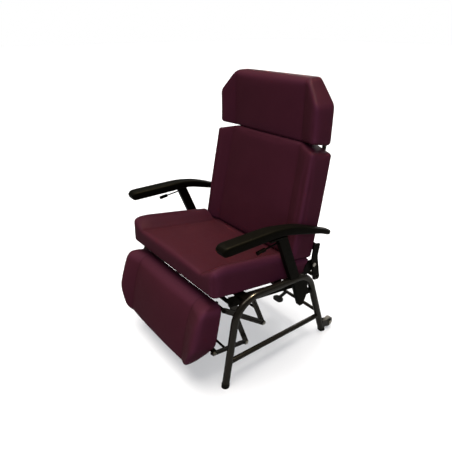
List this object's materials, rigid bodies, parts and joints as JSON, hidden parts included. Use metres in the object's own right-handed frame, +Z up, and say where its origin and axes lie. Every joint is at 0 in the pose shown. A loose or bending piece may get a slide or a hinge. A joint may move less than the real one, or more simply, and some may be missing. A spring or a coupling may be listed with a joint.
{
  "type": "reclining patient rest chair",
  "caption": "Padded reclining rest chair on a bent steel tube frame, with moulded arm rests, an adjustable head rest and a footrest that swings up.",
  "frame": {"origin": "on the floor, below the middle of the chair's outline", "axes": "+Z up, the sitter faces -Y, +X is the sitter's left"},
  "size_m": [0.749, 0.7554, 1.1419],
  "materials": {
    "vinyl": "satin",
    "moulding": "satin",
    "panel": "matte",
    "rubber": "matte",
    "wheel": "satin",
    "zinc": "satin",
    "frame": "satin"
  },
  "bodies": {
    "base": {"side_frame_left": "frame", "side_frame_right": "frame", "stretcher_left": "frame", "stretcher_right": "frame", "arm_pad_left": "moulding", "arm_pad_right": "moulding", "arm_upright_left": "frame", "arm_upright_right": "frame", "arm_gusset_left": "frame", "arm_gusset_right": "frame", "seat_bar_left": "frame", "seat_bar_right": "frame", "rear_crossbar": "frame", "foot_caps": "rubber", "wheel_forks": "frame", "wheel_axles": "zinc", "tread_pedal": "frame", "arm_plates": "frame", "lever_bolts": "zinc", "seat_cushion": "vinyl", "seat_board": "panel", "seat_cross_bars": "frame", "seat_stays": "frame", "seat_pivot_bolts": "zinc", "back_hinge_bolts": "zinc", "spring_straps": "frame", "back_spring_cylinder": "frame", "footrest_spring_cylinder": "frame"},
    "back": {"back_cushion": "vinyl", "back_board": "panel", "back_tubes": "frame", "back_arms": "frame", "back_yoke": "frame", "back_lever_tube": "frame"},
    "headrest": {"headrest_cushion": "vinyl", "headrest_board": "panel", "headrest_posts": "zinc", "headrest_brackets": "frame"},
    "crank": {"crank_links": "frame", "crank_bolts": "zinc", "crank_tube": "frame"},
    "lift": {"lift_links": "frame", "lift_pins": "zinc", "footrest_pivot_bar": "frame"},
    "guide": {"guide_links": "frame", "guide_pins": "zinc", "guide_tie": "frame"},
    "push": {"push_links": "frame", "push_pins": "zinc", "push_tie": "frame"},
    "footrest": {"footrest_cushion": "vinyl", "footrest_board": "panel", "footrest_ears": "frame"},
    "lever_left": {"release_lever_left": "frame"},
    "lever_right": {"release_lever_right": "frame"},
    "wheel_left": {"wheel_left": "wheel"},
    "wheel_right": {"wheel_right": "wheel"},
    "back_rod": {"back_spring_rod": "zinc"},
    "footrest_rod": {"footrest_spring_rod": "zinc"}
  },
  "joints": [
    {"name": "back_recline", "type": "hinge", "parent": "base", "child": "back", "pos_m": [0, 0.2464, 0.37198], "axis": [-1, 0, 0], "range_deg": [0, 45]},
    {"name": "headrest_slide", "type": "slide", "parent": "back", "child": "headrest", "axis": [0, 0.1754, 0.9845], "range_m": [0, 0.08]},
    {"name": "footrest_raise", "type": "hinge", "parent": "base", "child": "crank", "pos_m": [0, -0.2076, 0.358], "axis": [-1, 0, 0], "range_deg": [0, 72]},
    {"name": "lift_turn", "type": "hinge", "parent": "crank", "child": "lift", "pos_m": [0, -0.18376, 0.29197], "axis": [-1, 0, 0], "range_deg": [-61, 0.5]},
    {"name": "footrest_turn", "type": "hinge", "parent": "lift", "child": "footrest", "pos_m": [0, -0.2418, 0.33574], "axis": [-1, 0, 0], "range_deg": [-0.5, 55.5]},
    {"name": "push_turn", "type": "hinge", "parent": "crank", "child": "push", "pos_m": [0, -0.1196, 0.1143], "axis": [-1, 0, 0], "range_deg": [-27.2, 0.5]},
    {"name": "guide_turn", "type": "hinge", "parent": "base", "child": "guide", "pos_m": [0, -0.0976, 0.343], "axis": [-1, 0, 0], "range_deg": [-0.5, 36]},
    {"name": "lever_left_pull", "type": "hinge", "parent": "base", "child": "lever_left", "pos_m": [0.355, -0.0016, 0.578], "axis": [-1, 0, 0], "range_deg": [0, 12], "stiffness_Nm_per_rad": 2, "springref_deg": -5.73},
    {"name": "lever_right_pull", "type": "hinge", "parent": "base", "child": "lever_right", "pos_m": [-0.355, -0.0016, 0.578], "axis": [-1, 0, 0], "range_deg": [0, 12], "stiffness_Nm_per_rad": 2, "springref_deg": -5.73},
    {"name": "wheel_left_spin", "type": "hinge", "parent": "base", "child": "wheel_left", "pos_m": [0.355, 0.3564, 0.029], "axis": [1, 0, 0], "continuous": true},
    {"name": "wheel_right_spin", "type": "hinge", "parent": "base", "child": "wheel_right", "pos_m": [-0.355, 0.3564, 0.029], "axis": [1, 0, 0], "continuous": true},
    {"name": "back_rod_slide", "type": "slide", "parent": "base", "child": "back_rod", "axis": [0, 1, 0], "range_m": [-0.0605, 0.0005]},
    {"name": "footrest_rod_slide", "type": "slide", "parent": "base", "child": "footrest_rod", "axis": [0, 1, 0], "range_m": [-0.0535, 0.0005]}
  ],
  "couplings": [
    {"joint": "lift_turn", "follows": "footrest_raise", "ratio": -0.838},
    {"joint": "footrest_turn", "follows": "footrest_raise", "ratio": 0.76},
    {"joint": "push_turn", "follows": "footrest_raise", "ratio": -0.368},
    {"joint": "guide_turn", "follows": "footrest_raise", "ratio": 0.491},
    {"joint": "back_rod_slide", "follows": "back_recline", "m_per_rad": -0.07601},
    {"joint": "footrest_rod_slide", "follows": "footrest_raise", "m_per_rad": -0.0421}
  ]
}
